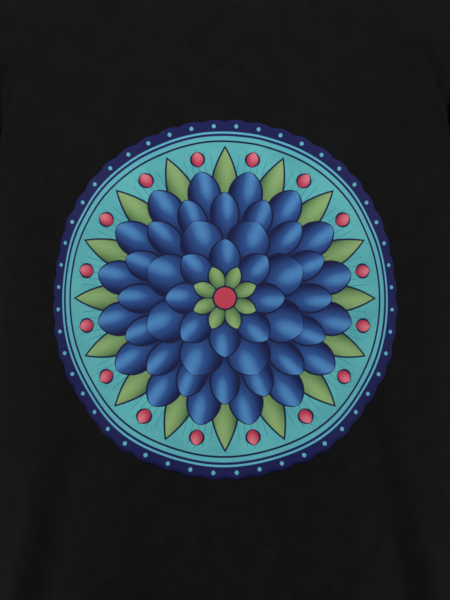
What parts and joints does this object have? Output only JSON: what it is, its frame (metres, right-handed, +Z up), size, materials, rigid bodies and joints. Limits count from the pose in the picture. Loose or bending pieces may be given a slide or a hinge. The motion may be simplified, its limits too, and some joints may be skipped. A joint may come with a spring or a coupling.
{
  "type": "t-shirt",
  "caption": "Black short-sleeved crew-neck T-shirt in its worn shape, with a round rosette print on the chest.",
  "frame": {"origin": "middle of the neck base, level with the high points of the shoulder seams, where the wearer's shoulders hold the shirt", "axes": "+Z up, -Y the way the wearer faces, +X to the wearer's left"},
  "size_m": [0.766, 0.2623, 0.7392],
  "materials": {
    "jersey": "fine black cotton jersey, matt with a soft sheen",
    "rib": "black cotton rib knit",
    "tape": "black cotton herringbone tape",
    "print": "soft screen print in teal, navy, blues, green and coral"
  },
  "bodies": {
    "root": {"front_panel": "jersey", "back_panel": "jersey", "sleeve_left": "jersey", "sleeve_right": "jersey", "neckband": "rib", "neck_tape": "tape", "chest_print": "print"}
  },
  "joints": []
}
